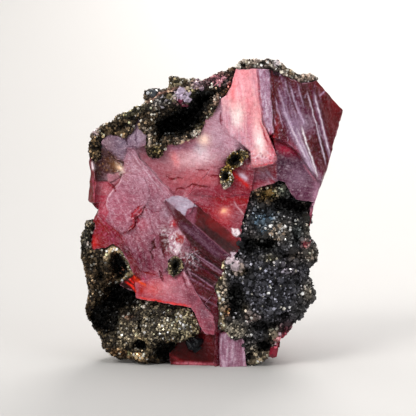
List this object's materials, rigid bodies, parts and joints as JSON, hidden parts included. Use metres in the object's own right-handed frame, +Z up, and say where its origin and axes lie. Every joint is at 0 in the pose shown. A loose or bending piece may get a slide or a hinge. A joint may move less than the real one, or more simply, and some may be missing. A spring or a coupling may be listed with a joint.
{
  "type": "raspberry calcite mineral specimen",
  "caption": "Upright hand specimen of a cleaved raspberry-red calcite crystal with dark, glittering crusts, an open vug at the top and a flat base.",
  "frame": {"origin": "on the surface that the specimen stands on, below the middle of its bounding box", "axes": "+Z up, along the specimen's height; the best side faces -Y; +X to the viewer's right"},
  "size_m": [0.0684, 0.0415, 0.0798],
  "materials": {
    "calcite": "translucent raspberry-red spar with glassy, frosted and stepped cleavage faces",
    "black_crust": "rough black fine-grained sulphide crust with grey and gold glitter",
    "golden_druse": "metallic golden-grey druse on dark matrix",
    "brown_druse": "dark brown and olive-gold druse, sparkling",
    "crown_druse": "pale brown druse with dark gaps",
    "black_crystal": "black, shiny, faceted"
  },
  "bodies": {
    "root": {"calcite_crystal": "calcite", "right_crust": "black_crust", "lower_left_crust": "golden_druse", "top_crust": "brown_druse", "crown_crust": "crown_druse", "upper_pit_druse": "brown_druse", "middle_pit_druse": "brown_druse", "lower_pit_druse": "brown_druse", "black_crystal": "black_crystal"}
  },
  "joints": []
}
